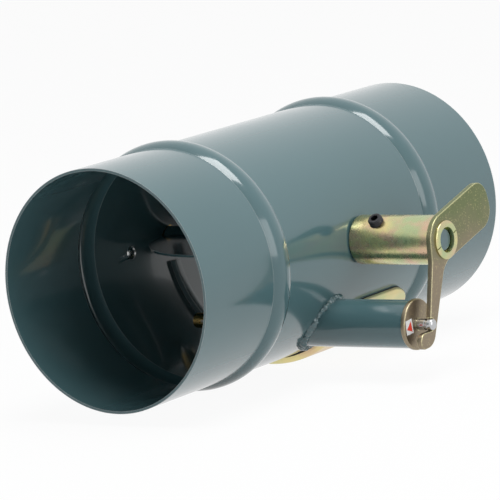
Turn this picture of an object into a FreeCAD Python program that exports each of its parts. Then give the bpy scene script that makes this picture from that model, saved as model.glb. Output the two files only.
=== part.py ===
import FreeCAD, Part
import math
import os

os.makedirs("parts", exist_ok=True)

V = FreeCAD.Vector
ORIGIN = V(0, 0, 0)
ALONG_X = V(1, 0, 0)
ALONG_Y = V(0, 1, 0)
ALONG_Z = V(0, 0, 1)

# Casing: a round duct piece along Y, inlet end at y = 0
DUCT_LENGTH = 324.0
DUCT_R = 74.0
WALL = 1.6
DUCT_BORE_R = DUCT_R - WALL
BEAD_CREST = 78.5
BEAD_HEIGHT = 3.3
BEAD_HALF_WIDTH = 9.0

# Shaft line, along X through the middle of the duct
SHAFT_Y = 166.0
SHAFT_R = 7.0
RUNNING_GAP = 0.05
SMALL_GAP = 0.1

# Blade, lying on the shaft and open at rest
BLADE_T = 1.6
BLADE_R = DUCT_BORE_R - 0.8
BLADE_UNDER = 2.1
SADDLE_FILLET = 3.0
BLADE_SCREW_PITCH = 36.0
SCREW_R = 2.5

# Stop rings, half a turn each, one on either side of the closed blade
STOP_HEIGHT = 3.8
STOP_DEPTH = 5.8
STOP_GAP = 0.3
STOP_END_ANGLE = 10.6

# Shaft bushes, proud of the casing on both sides
BUSH_R = 11.3
BUSH_NECK_R = 9.0
BUSH_REACH = 7.5

# Handle sleeve and lever plate on the +X side
SLEEVE_START = DUCT_R + 0.5
SLEEVE_END = 131.5
SLEEVE_R = 15.2
SLEEVE_RECESS_R = BUSH_R + 0.7
SLEEVE_RECESS_END = DUCT_R + BUSH_REACH + 1.5
SPIGOT_R = 11.0
SPIGOT_MOUTH_R = 7.8
PLATE_T = 3.5
PLATE_FRONT = SLEEVE_END + PLATE_T
SPIGOT_END = PLATE_FRONT + 1.2
SET_SCREW_R = 4.6
SET_SCREW_X = SLEEVE_START + 17.5
SET_SCREW_TILT = 35.0
SET_SCREW_PROUD = 3.6

# Thermal fuse, along X below the handle
FUSE_Y = 141.0
FUSE_Z = -47.1
STUB_R = 14.7
STUB_BORE_R = STUB_R - WALL
STUB_END = 122.6
CAP_T = 3.2
CAP_R = 15.6
CAP_FACE = STUB_END + CAP_T
CAP_PLUG = 8.0
NOSE_R = 3.5
NOSE_TIP = 137.2
ROD_TRAVEL = 10.0
HOLDER_R = 4.8
HOLDER_BORE_R = NOSE_R + RUNNING_GAP
HOLDER_END = -37.0
ALLOY_LENGTH = 12.0
ROD_R = 2.2
ROD_COLLAR_T = 4.0
SPRING_SEAT_X = 52.0
SPRING_SEAT_T = 4.0
WELD_SIZE = 2.2

# Access cover, a shallow pressed lid beside the fuse
COVER_START = 158.5
COVER_END = 231.5
COVER_TOP_ANGLE = -31.6
COVER_LOW_ANGLE = -106.0
GASKET_T = 1.0
COVER_HEIGHT = 4.7
COVER_CORNER_R = 21.0
COVER_EDGE_R = 2.5
GASKET_WIDTH = 7.0
HATCH_INSET = 15.0
COVER_SCREW_EDGE = 6.4
NUT_HEIGHT = 4.0

# Return spring on the far side of the shaft
SPRING_WIRE_R = 1.5
SPRING_R = 13.5
SPRING_PITCH = 3.4
SPRING_TURNS = 5
SPRING_START = -(DUCT_R + 3.2)
STUD_Y = 124.2
STUD_Z = -1.0
STUD_R = 3.0
COLLAR_R = 11.0
COLLAR_START = -(DUCT_R + BUSH_REACH + 0.6)
COLLAR_END = COLLAR_START - 16.4
CLIP_T = 1.2
SHAFT_FAR_END = COLLAR_END - 5.5
SHAFT_HANDLE_END = PLATE_FRONT - 1.0


def export(shape, node):
    if shape.Volume < 0:
        shape = shape.reversed()
    shape = shape.removeSplitter()
    shape.exportStep("parts/" + node + ".step")


def joined(first, others):
    return first.fuse(others).removeSplitter()


def bar_x(y, z, radius, start, end):
    return Part.makeCylinder(radius, end - start, V(start, y, z), ALONG_X)


def bar_y(radius, start, end):
    return Part.makeCylinder(radius, end - start, V(0, start, 0), ALONG_Y)


def sleeve_x(y, z, radius, bore, start, end):
    return bar_x(y, z, radius, start, end).cut(bar_x(y, z, bore, start - 1, end + 1))


def shaft_bar(radius, start, end):
    return bar_x(SHAFT_Y, 0, radius, start, end)


def fuse_bar(radius, start, end):
    return bar_x(FUSE_Y, FUSE_Z, radius, start, end)


def outward(angle):
    return V(math.cos(math.radians(angle)), 0, math.sin(math.radians(angle)))


def radial_bar(angle, y, radius, start, end):
    direction = outward(angle)
    base = direction * start + V(0, y, 0)
    return Part.makeCylinder(radius, end - start, base, direction)


def duct_sector(inner, outer, start, end, low_angle, high_angle):
    corners = [V(inner, start, 0), V(outer, start, 0), V(outer, end, 0), V(inner, end, 0)]
    section = Part.Face(Part.makePolygon(corners + corners[:1]))
    section.rotate(ORIGIN, ALONG_Y, -low_angle)
    return section.revolve(ORIGIN, ALONG_Y, low_angle - high_angle)


def duct_radius(point):
    return math.hypot(point.x, point.z)


def rounded_sector(inner, outer, start, end, low_angle, high_angle, corner, edge):
    block = duct_sector(inner, outer, start, end, low_angle, high_angle)
    corners = [
        e for e in block.Edges
        if len(e.Vertexes) == 2
        and abs(duct_radius(e.Vertexes[0].Point) - duct_radius(e.Vertexes[1].Point)) > 0.5
    ]
    block = block.makeFillet(corner, corners)
    if edge == 0:
        return block
    rim = [
        e for e in block.Edges
        if all(abs(duct_radius(p) - outer) < 0.01 for p in e.discretize(5))
    ]
    return block.makeFillet(edge, rim)


def rounded_wire(corners, x):
    # each corner is a point with its own radius; the outline runs line, arc, line
    edges = []
    ends = []
    count = len(corners)
    for i in range(count):
        before = V(x, corners[i - 1][0], corners[i - 1][1])
        here = V(x, corners[i][0], corners[i][1])
        after = V(x, corners[(i + 1) % count][0], corners[(i + 1) % count][1])
        radius = corners[i][2]
        back = (before - here).normalize()
        ahead = (after - here).normalize()
        half = back.getAngle(ahead) / 2
        reach = radius / math.tan(half)
        middle = (back + ahead).normalize()
        bulge = radius / math.sin(half) - radius
        ends.append((here + back * reach, here + middle * bulge, here + ahead * reach))
    for i in range(count):
        start, top, end = ends[i]
        if corners[i][2] > 0:
            edges.append(Part.Arc(start, top, end).toShape())
        following = ends[(i + 1) % count][0]
        if (following - end).Length > 0.001:
            edges.append(Part.makeLine(end, following))
    return Part.Wire(edges)


def casing_outline(radius, crest_height, half_width):
    # points from the inlet end to the outlet end, with an arc at each bead
    edges = []
    last = V(radius, 0, 0)
    for crest in (BEAD_CREST, DUCT_LENGTH - BEAD_CREST):
        foot = V(radius, crest - half_width, 0)
        top = V(radius + crest_height, crest, 0)
        far_foot = V(radius, crest + half_width, 0)
        edges.append(Part.makeLine(last, foot))
        edges.append(Part.Arc(foot, top, far_foot).toShape())
        last = far_foot
    edges.append(Part.makeLine(last, V(radius, DUCT_LENGTH, 0)))
    return edges


def make_casing_tube():
    bead_r = (BEAD_HEIGHT ** 2 + BEAD_HALF_WIDTH ** 2) / (2 * BEAD_HEIGHT)
    bead_centre = DUCT_R + BEAD_HEIGHT - bead_r
    inner_half = math.sqrt((bead_r - WALL) ** 2 - (DUCT_BORE_R - bead_centre) ** 2)
    outer = casing_outline(DUCT_R, BEAD_HEIGHT, BEAD_HALF_WIDTH)
    inner = casing_outline(DUCT_BORE_R, BEAD_HEIGHT, inner_half)
    inlet = Part.makeLine(V(DUCT_BORE_R, 0, 0), V(DUCT_R, 0, 0))
    outlet = Part.makeLine(V(DUCT_R, DUCT_LENGTH, 0), V(DUCT_BORE_R, DUCT_LENGTH, 0))
    wire = Part.Wire(Part.__sortEdges__(outer + inner + [inlet, outlet]))
    tube = Part.Face(wire).revolve(ORIGIN, ALONG_Y, 360)
    holes = [
        fuse_bar(STUB_BORE_R, 0, DUCT_R + 10),
        shaft_bar(BUSH_NECK_R, -DUCT_R - 10, DUCT_R + 10),
        bar_x(STUD_Y, STUD_Z, STUD_R, -DUCT_R - 10, -DUCT_R + 10),
        hatch(),
    ]
    for angle in cover_screw_angles():
        holes.append(radial_bar(angle, cover_middle(), SCREW_R + SMALL_GAP, 60, 90))
    return tube.cut(holes)


def cover_middle():
    return (COVER_START + COVER_END) / 2


def cover_screw_angles():
    step = math.degrees(COVER_SCREW_EDGE / DUCT_R)
    return (COVER_TOP_ANGLE - step - 1.6, COVER_LOW_ANGLE + step + 1.6)


def hatch():
    turn = math.degrees(HATCH_INSET / DUCT_R)
    return rounded_sector(
        DUCT_BORE_R - 3, DUCT_R + 3, COVER_START + HATCH_INSET, COVER_END - HATCH_INSET,
        COVER_LOW_ANGLE + turn, COVER_TOP_ANGLE - turn, COVER_CORNER_R / 2, 0)


def make_stop_ring(upper):
    closed_front = SHAFT_Y + BLADE_UNDER
    closed_back = closed_front + BLADE_T
    inner = DUCT_BORE_R - STOP_HEIGHT
    if upper:
        start = closed_back + STOP_GAP
        angles = (STOP_END_ANGLE, 180 - STOP_END_ANGLE)
    else:
        start = closed_front - STOP_GAP - STOP_DEPTH
        angles = (STOP_END_ANGLE - 180, -STOP_END_ANGLE)
    ring = duct_sector(inner, DUCT_BORE_R, start, start + STOP_DEPTH, angles[0], angles[1])
    edges = [e for e in ring.Edges if all(duct_radius(p) < inner + 0.01 for p in e.discretize(3))]
    long_edges = [e for e in edges if e.Length > 50]
    return ring.makeFillet(0.6, long_edges)


def make_bush(side):
    reach = DUCT_R + BUSH_REACH
    neck = shaft_bar(BUSH_NECK_R, DUCT_BORE_R, DUCT_R + 1)
    neck = neck.cut(bar_y(DUCT_BORE_R, 0, DUCT_LENGTH))
    boss = shaft_bar(BUSH_R, DUCT_R - 3, reach)
    rim = [e for e in boss.Edges if abs(e.CenterOfMass.x - reach) < 0.01 and len(e.Vertexes) == 1]
    boss = boss.makeFillet(0.8, rim)
    boss = boss.cut(bar_y(DUCT_R, 0, DUCT_LENGTH))
    bush = joined(boss, [neck]).cut(shaft_bar(SHAFT_R + RUNNING_GAP, 60, reach + 1))
    if side < 0:
        bush.rotate(V(0, SHAFT_Y, 0), ALONG_Z, 180)
    return bush


def make_stub():
    stub = sleeve_x(FUSE_Y, FUSE_Z, STUB_R, STUB_BORE_R, 0, STUB_END)
    return stub.cut(bar_y(DUCT_R, 0, DUCT_LENGTH))


def fuse_radius(point):
    return math.hypot(point.y - FUSE_Y, point.z - FUSE_Z)


def make_stub_weld():
    # a band standing on both tubes, with its free corner rounded
    band = fuse_bar(STUB_R + WELD_SIZE, 20, DUCT_R + 20).common(bar_y(DUCT_R + WELD_SIZE, 0, DUCT_LENGTH))
    band = band.cut([bar_y(DUCT_R, 0, DUCT_LENGTH), fuse_bar(STUB_R, 0, STUB_END)])
    corner = [
        e for e in band.Edges
        if e.Length > 20
        and all(duct_radius(p) > DUCT_R + WELD_SIZE - 0.02 for p in e.discretize(7))
        and all(fuse_radius(p) > STUB_R + WELD_SIZE - 0.02 for p in e.discretize(7))
    ]
    return band.makeFillet(WELD_SIZE * 0.5, corner)


def make_stud():
    head_start = -DUCT_R - 8
    shank = bar_x(STUD_Y, STUD_Z, STUD_R, head_start, -DUCT_BORE_R + 1)
    head = bar_x(STUD_Y, STUD_Z, STUD_R + 2, head_start - 2, head_start)
    dome = Part.makeSphere(5.0, V(-DUCT_BORE_R - 2.6, STUD_Y, STUD_Z)).common(bar_y(DUCT_BORE_R, 0, DUCT_LENGTH))
    return joined(shank, [head, dome])


def spring_leg_turn():
    # where the long leg leaves the coil: it passes under the shaft and over the stud
    reach = math.hypot(STUD_Y - SHAFT_Y, STUD_Z)
    apart = SPRING_R + STUD_R + SPRING_WIRE_R + SMALL_GAP
    return math.atan2(STUD_Z, STUD_Y - SHAFT_Y) + math.acos(apart / reach)


def make_torsion_spring():
    # the coil turns from the long leg, which rests on the stud, to a short leg in the collar
    turn = spring_leg_turn()
    outwards = V(0, math.cos(turn), math.sin(turn))
    foot = V(SPRING_START, SHAFT_Y, 0) + outwards * SPRING_R
    tip = V(SPRING_START, STUD_Y, STUD_Z) - outwards * (STUD_R + SPRING_WIRE_R + SMALL_GAP)
    tip = tip + (tip - foot).normalize() * 7.0
    leg = Part.makeCylinder(SPRING_WIRE_R, (tip - foot).Length, foot, tip - foot)
    coil_length = SPRING_PITCH * SPRING_TURNS
    path = Part.makeHelix(SPRING_PITCH, coil_length, SPRING_R, 0, True)
    start = V(SPRING_R, 0, 0)
    section = Part.Wire([Part.makeCircle(SPRING_WIRE_R, start, ALONG_Y)])
    coil = Part.Wire(path.Edges).makePipeShell([section], True, True)
    coil.rotate(ORIGIN, ALONG_Y, -90)
    coil.rotate(ORIGIN, ALONG_X, math.degrees(turn) - 90)
    coil.translate(V(SPRING_START, SHAFT_Y, 0))
    knee = Part.makeSphere(SPRING_WIRE_R, foot)
    inward = V(0, -math.cos(turn), -math.sin(turn))
    far_foot = foot + V(-coil_length, 0, 0)
    elbow = Part.makeSphere(SPRING_WIRE_R, far_foot)
    short_leg = Part.makeCylinder(SPRING_WIRE_R, SPRING_R - SHAFT_R - 1, far_foot, inward)
    return joined(coil, [leg, knee, elbow, short_leg])


def spring_leg_hole():
    turn = spring_leg_turn()
    x = SPRING_START - SPRING_PITCH * SPRING_TURNS
    direction = V(0, math.cos(turn), math.sin(turn))
    return Part.makeCylinder(SPRING_WIRE_R + 0.2, 20, V(x, SHAFT_Y, 0), direction)


def make_gasket():
    block = rounded_sector(
        DUCT_R - 3, DUCT_R + 3, COVER_START, COVER_END,
        COVER_LOW_ANGLE, COVER_TOP_ANGLE, COVER_CORNER_R, 0)
    turn = math.degrees(GASKET_WIDTH / DUCT_R)
    middle = rounded_sector(
        DUCT_R - 4, DUCT_R + 4, COVER_START + GASKET_WIDTH, COVER_END - GASKET_WIDTH,
        COVER_LOW_ANGLE + turn, COVER_TOP_ANGLE - turn, COVER_CORNER_R - GASKET_WIDTH, 0)
    holes = []
    for angle in cover_screw_angles():
        holes.append(radial_bar(angle, cover_middle(), SCREW_R + 2.6, 70, 80))
    band = block.common(bar_y(DUCT_R + GASKET_T, 0, DUCT_LENGTH))
    return band.cut([bar_y(DUCT_R, 0, DUCT_LENGTH), middle] + holes)


def cover_block(inset):
    turn = math.degrees(inset / DUCT_R)
    inner = DUCT_R + GASKET_T
    if inset > 0:
        inner = inner - 2
    return rounded_sector(
        inner, DUCT_R + COVER_HEIGHT - inset, COVER_START + inset, COVER_END - inset,
        COVER_LOW_ANGLE + turn, COVER_TOP_ANGLE - turn,
        COVER_CORNER_R - inset, COVER_EDGE_R - inset)


def make_cover():
    lid = cover_block(0).cut(cover_block(WALL))
    holes = []
    for angle in cover_screw_angles():
        holes.append(radial_bar(angle, cover_middle(), SCREW_R + SMALL_GAP, 70, 90))
    return lid.cut(holes)


def make_cover_screws():
    face = DUCT_R + COVER_HEIGHT
    screws = []
    for angle in cover_screw_angles():
        shank = radial_bar(angle, cover_middle(), SCREW_R, DUCT_BORE_R - NUT_HEIGHT, face + 1)
        head = radial_bar(angle, cover_middle(), 4.5, face, face + 3)
        top = [e for e in head.Edges if len(e.Vertexes) == 1 and duct_radius(e.CenterOfMass) > face + 2]
        head = head.makeFillet(1.2, top)
        slot = Part.makeBox(1.0, 12, 1.2, V(-0.5, -6, 0))
        slot.Placement = FreeCAD.Placement(
            outward(angle) * (face + 2) + V(0, cover_middle(), 0),
            FreeCAD.Rotation(ALONG_Z, outward(angle)))
        screws.append(joined(shank, [head]).cut(slot))
    return Part.Compound(screws)


def make_cover_spacers():
    spacers = []
    for angle in cover_screw_angles():
        tube = radial_bar(angle, cover_middle(), SCREW_R + 2.4, DUCT_R - 1, DUCT_R + COVER_HEIGHT)
        tube = tube.cut(radial_bar(angle, cover_middle(), SCREW_R + SMALL_GAP, 70, 90))
        tube = tube.cut(bar_y(DUCT_R, 0, DUCT_LENGTH))
        tube = tube.common(bar_y(DUCT_R + COVER_HEIGHT - WALL, 0, DUCT_LENGTH))
        spacers.append(tube)
    return Part.Compound(spacers)


def make_cover_nuts():
    nuts = []
    for angle in cover_screw_angles():
        corners = []
        for i in range(7):
            corners.append(V(4.6 * math.cos(math.radians(60 * i)), 4.6 * math.sin(math.radians(60 * i)), 0))
        nut = Part.Face(Part.makePolygon(corners)).extrude(V(0, 0, NUT_HEIGHT + 1))
        nut.Placement = FreeCAD.Placement(
            outward(angle) * (DUCT_BORE_R - NUT_HEIGHT) + V(0, cover_middle(), 0),
            FreeCAD.Rotation(ALONG_Z, outward(angle)))
        nut = nut.common(bar_y(DUCT_BORE_R, 0, DUCT_LENGTH))
        nuts.append(nut.cut(radial_bar(angle, cover_middle(), SCREW_R, 60, 80)))
    return Part.Compound(nuts)


def make_fuse_cap():
    disc = fuse_bar(CAP_R, STUB_END, CAP_FACE)
    disc = disc.makeFillet(0.8, [e for e in disc.Edges if len(e.Vertexes) == 1])
    plug = fuse_bar(STUB_BORE_R - SMALL_GAP, STUB_END - CAP_PLUG, STUB_END + 1)
    cap = joined(disc, [plug])
    return cap.cut([
        fuse_bar(HOLDER_BORE_R, STUB_END - 20, CAP_FACE + 1),
        fuse_bar(HOLDER_R, STUB_END - 20, STUB_END - 1),
    ])


def make_fuse_holder():
    tube = fuse_bar(HOLDER_R, HOLDER_END, STUB_END - 1)
    seat_end = SPRING_SEAT_X + SPRING_SEAT_T
    cuts = [
        fuse_bar(HOLDER_BORE_R, HOLDER_END - 1, SPRING_SEAT_X),
        fuse_bar(HOLDER_BORE_R, seat_end, STUB_END),
        fuse_bar(ROD_R + SMALL_GAP, HOLDER_END - 1, STUB_END),
    ]
    window_start = HOLDER_END + 2.5
    window_length = ALLOY_LENGTH - 4
    for turn in (0, 90):
        window = Part.makeBox(window_length, 12, 2.6, V(window_start, FUSE_Y - 6, FUSE_Z - 1.3))
        window.rotate(V(0, FUSE_Y, FUSE_Z), ALONG_X, turn)
        cuts.append(window)
    return tube.cut(cuts)


def make_fuse_end_collar():
    collar = sleeve_x(FUSE_Y, FUSE_Z, HOLDER_R, ROD_R + SMALL_GAP, HOLDER_END - 2.2, HOLDER_END)
    return collar


def make_fuse_alloy():
    start = HOLDER_END
    return sleeve_x(
        FUSE_Y, FUSE_Z, HOLDER_BORE_R - RUNNING_GAP, ROD_R + RUNNING_GAP,
        start, start + ALLOY_LENGTH)


def make_fuse_rod():
    nose_start = SPRING_SEAT_X + SPRING_SEAT_T + ROD_TRAVEL + 1
    nose = fuse_bar(NOSE_R, nose_start, NOSE_TIP)
    tip = [e for e in nose.Edges if abs(e.CenterOfMass.x - NOSE_TIP) < 0.01 and len(e.Vertexes) == 1]
    nose = nose.makeFillet(1.8, tip)
    groove = sleeve_x(FUSE_Y, FUSE_Z, NOSE_R + 1, NOSE_R - 0.5, NOSE_TIP - 6.0, NOSE_TIP - 3.8)
    tail = fuse_bar(ROD_R, HOLDER_END - 4.2, nose_start + 1)
    return joined(nose.cut(groove), [tail])


def rod_collar_start():
    return HOLDER_END + ALLOY_LENGTH


def make_fuse_rod_collar():
    start = rod_collar_start()
    return sleeve_x(FUSE_Y, FUSE_Z, NOSE_R, ROD_R, start, start + ROD_COLLAR_T)


def make_fuse_spring():
    start = rod_collar_start() + ROD_COLLAR_T
    wire_r = 0.5
    coil_r = (ROD_R + HOLDER_BORE_R) / 2
    turns = 8
    length = SPRING_SEAT_X - start - 2 * wire_r - 0.1
    path = Part.makeHelix(length / turns, length, coil_r)
    section = Part.Wire([Part.makeCircle(wire_r, V(coil_r, 0, 0), ALONG_Y)])
    coil = Part.Wire(path.Edges).makePipeShell([section], True, True)
    coil.rotate(ORIGIN, ALONG_Y, 90)
    coil.translate(V(start + wire_r + 0.05, FUSE_Y, FUSE_Z))
    return coil


def set_screw_frame(shape):
    # a piece drawn along Z is tilted towards the inlet and moved to the sleeve
    shape.rotate(ORIGIN, ALONG_X, SET_SCREW_TILT)
    shape.translate(V(SET_SCREW_X, SHAFT_Y, 0))
    return shape


def blade_screw_places():
    return (-BLADE_SCREW_PITCH, 0, BLADE_SCREW_PITCH)


def make_shaft():
    shaft = shaft_bar(SHAFT_R, SHAFT_FAR_END, SHAFT_HANDLE_END)
    ends = [e for e in shaft.Edges if len(e.Vertexes) == 1]
    shaft = shaft.makeChamfer(0.8, ends)
    cuts = [
        sleeve_x(SHAFT_Y, 0, SHAFT_R + 1, SHAFT_R - 0.8, COLLAR_END - 0.1 - CLIP_T, COLLAR_END - 0.1),
        collar_pin_bar(SCREW_R, 10),
        set_screw_frame(Part.makeCylinder(SET_SCREW_R, 5, V(0, 0, SHAFT_R - 0.6), ALONG_Z)),
    ]
    for x in blade_screw_places():
        cuts.append(Part.makeCylinder(SCREW_R, 20, V(x, SHAFT_Y, -4), ALONG_Z))
    return shaft.cut(cuts)


def make_blade():
    # the pressed saddle is a half round over the shaft with a fillet to the flat on each side
    saddle_r = SHAFT_R + BLADE_T
    top = BLADE_UNDER + BLADE_T
    centre_z = top + SADDLE_FILLET
    reach = saddle_r + SADDLE_FILLET
    centre_y = math.sqrt(reach ** 2 - centre_z ** 2)
    slope = math.atan2(centre_z, centre_y)
    edges = []
    for radius, fillet, level in ((saddle_r, SADDLE_FILLET, top), (SHAFT_R, SADDLE_FILLET + BLADE_T, BLADE_UNDER)):
        for side in (-1, 1):
            flat = V(0, side * centre_y, level)
            turn = (slope + math.pi / 2) / 2
            bend = V(0, side * (centre_y - fillet * math.cos(turn)), centre_z - fillet * math.sin(turn))
            meet = V(0, side * radius * math.cos(slope), radius * math.sin(slope))
            edges.append(Part.Arc(flat, bend, meet).toShape())
            edges.append(Part.makeLine(flat, V(0, side * (BLADE_R + 5), level)))
        left = V(0, -radius * math.cos(slope), radius * math.sin(slope))
        right = V(0, radius * math.cos(slope), radius * math.sin(slope))
        edges.append(Part.Arc(left, V(0, 0, radius), right).toShape())
    for side in (-1, 1):
        y = side * (BLADE_R + 5)
        edges.append(Part.makeLine(V(0, y, BLADE_UNDER), V(0, y, top)))
    section = Part.Face(Part.Wire(Part.__sortEdges__(edges)))
    section.translate(V(-BLADE_R - 5, SHAFT_Y, 0))
    sheet = section.extrude(V(2 * BLADE_R + 10, 0, 0))
    blade = sheet.common(Part.makeCylinder(BLADE_R, 40, V(0, SHAFT_Y, -5), ALONG_Z))
    holes = []
    for x in blade_screw_places():
        holes.append(Part.makeCylinder(SCREW_R + SMALL_GAP, 20, V(x, SHAFT_Y, 0), ALONG_Z))
    return blade.cut(holes)


def make_blade_screws():
    seat = SHAFT_R + BLADE_T
    screws = []
    for x in blade_screw_places():
        shank = Part.makeCylinder(SCREW_R, seat + 5, V(x, SHAFT_Y, -4), ALONG_Z)
        head = Part.makeCylinder(4.5, 4.0, V(x, SHAFT_Y, seat - 1), ALONG_Z)
        head = head.cut(shaft_bar(seat, x - 10, x + 10))
        slot = Part.makeBox(10, 1.0, 2, V(x - 5, SHAFT_Y - 0.5, seat + 1.8))
        screws.append(joined(shank, [head]).cut(slot))
    return Part.Compound(screws)


def make_sleeve():
    body = shaft_bar(SLEEVE_R, SLEEVE_START, SLEEVE_END)
    body = body.makeFillet(0.6, [e for e in body.Edges if len(e.Vertexes) == 1])
    spigot = shaft_bar(SPIGOT_R, SLEEVE_END - 1, SPIGOT_END)
    lip = shaft_bar(SPIGOT_R + 0.9, PLATE_FRONT, SPIGOT_END)
    lip_edge = [e for e in lip.Edges if abs(e.CenterOfMass.x - SPIGOT_END) < 0.01 and len(e.Vertexes) == 1]
    lip = lip.makeFillet(0.7, lip_edge)
    sleeve = joined(body, [spigot, lip])
    cuts = [
        shaft_bar(SHAFT_R, SLEEVE_START - 1, SPIGOT_END + 1),
        shaft_bar(SLEEVE_RECESS_R, SLEEVE_START - 1, SLEEVE_RECESS_END),
        shaft_bar(SPIGOT_MOUTH_R, SHAFT_HANDLE_END - 2, SPIGOT_END + 1),
        set_screw_frame(Part.makeCylinder(SET_SCREW_R, SLEEVE_R + 2, ORIGIN, ALONG_Z)),
    ]
    for turn in (20, 200):
        slit = Part.makeBox(2.0, 12, 0.6, V(SPIGOT_END - 1.2, SHAFT_Y + 8, -0.3))
        slit.rotate(V(0, SHAFT_Y, 0), ALONG_X, turn)
        cuts.append(slit)
    return sleeve.cut(cuts)


def lever_outline():
    # corners are stated from the shaft line: along Y, along Z, corner radius
    pin_y = FUSE_Y - SHAFT_Y
    notch_r = NOSE_R + 0.4
    upper_lip = FUSE_Z + notch_r
    foot_top = FUSE_Z - notch_r
    corners = [
        (-16.8, 12.8, 16.8),
        (48.2, 30.4, 12.0),
        (55.8, 2.2, 12.0),
        (-3.6, -13.9, 14.0),
        (-23.8, -60.4, 10.0),
        (-37.4, -60.8, 4.0),
        (-37.8, foot_top, 5.0),
        (pin_y, foot_top, 0.0),
        (pin_y, upper_lip, 0.0),
        (-16.8, -10.5, 20.0),
    ]
    return [(y + SHAFT_Y, z, radius) for y, z, radius in corners]


def make_lever_plate():
    plate = Part.Face(rounded_wire(lever_outline(), SLEEVE_END)).extrude(V(PLATE_T, 0, 0))
    rims = [
        e for e in plate.Edges
        if all(abs(p.x - PLATE_FRONT) < 0.001 for p in e.discretize(3))
        or all(abs(p.x - SLEEVE_END) < 0.001 for p in e.discretize(3))
    ]
    plate = plate.makeFillet(0.5, rims)
    return plate.cut([
        shaft_bar(SPIGOT_R, SLEEVE_END - 1, PLATE_FRONT + 1),
        fuse_bar(NOSE_R + 0.4, SLEEVE_END - 1, PLATE_FRONT + 1),
    ])


def make_set_screw():
    top = SLEEVE_R + SET_SCREW_PROUD
    screw = Part.makeCylinder(SET_SCREW_R - SMALL_GAP, top - SHAFT_R + 0.6, V(0, 0, SHAFT_R - 0.6), ALONG_Z)
    screw = screw.makeChamfer(0.6, [e for e in screw.Edges if len(e.Vertexes) == 1])
    corners = []
    for i in range(7):
        turn = math.radians(60 * i + 12)
        corners.append(V(2.3 * math.cos(turn), 2.3 * math.sin(turn), top - 4.0))
    socket = Part.Face(Part.makePolygon(corners)).extrude(V(0, 0, 6))
    return set_screw_frame(screw.cut(socket))


def collar_pin_bar(radius, half_length):
    # the cross pin stands along the blade's flat, clear of the spring's short leg
    middle = (COLLAR_START + SPRING_START - SPRING_PITCH * SPRING_TURNS) / 2
    return Part.makeCylinder(radius, 2 * half_length, V(middle, SHAFT_Y, -half_length), ALONG_Z)


def make_spring_collar():
    collar = shaft_bar(COLLAR_R, COLLAR_END, COLLAR_START)
    collar = collar.makeFillet(0.6, [e for e in collar.Edges if len(e.Vertexes) == 1])
    return collar.cut([
        shaft_bar(SHAFT_R, COLLAR_END - 1, COLLAR_START + 1),
        spring_leg_hole(),
        collar_pin_bar(SCREW_R, COLLAR_R + 1),
    ])


def make_collar_pin():
    return collar_pin_bar(SCREW_R, COLLAR_R - 0.5)


def make_retaining_ring():
    start = COLLAR_END - 0.1 - CLIP_T
    ring = sleeve_x(SHAFT_Y, 0, SHAFT_R + 3.2, SHAFT_R - 0.8, start, start + CLIP_T)
    mouth = Part.makeBox(CLIP_T + 2, 8.4, 14, V(start - 1, SHAFT_Y - 4.2, -14))
    return ring.cut(mouth)


export(make_casing_tube(), "casing_tube")
export(make_stub(), "fuse_stub_tube")
export(make_stub_weld(), "stub_weld")
export(make_stop_ring(False), "lower_stop_ring")
export(make_stop_ring(True), "upper_stop_ring")
export(make_bush(1), "handle_side_bush")
export(make_bush(-1), "far_side_bush")
export(make_stud(), "spring_anchor_stud")
export(make_torsion_spring(), "torsion_spring")
export(make_gasket(), "cover_gasket")
export(make_cover(), "access_cover")
export(make_cover_screws(), "cover_screws")
export(make_cover_spacers(), "cover_spacers")
export(make_cover_nuts(), "cover_weld_nuts")
export(make_fuse_cap(), "fuse_cap")
export(make_fuse_holder(), "fuse_holder_tube")
export(make_fuse_end_collar(), "fuse_end_collar")
export(make_fuse_alloy(), "fuse_alloy_ring")
export(make_fuse_spring(), "fuse_spring")
export(make_fuse_rod(), "fuse_rod")
export(make_fuse_rod_collar(), "fuse_rod_collar")
export(make_shaft(), "damper_shaft")
export(make_blade(), "damper_blade")
export(make_blade_screws(), "blade_screws")
export(make_sleeve(), "handle_sleeve")
export(make_lever_plate(), "lever_plate")
export(make_set_screw(), "handle_set_screw")
export(make_spring_collar(), "spring_collar")
export(make_collar_pin(), "collar_pin")
export(make_retaining_ring(), "retaining_ring")
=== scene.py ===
import math

import bmesh
import bpy
from mathutils import Matrix, Vector


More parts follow.
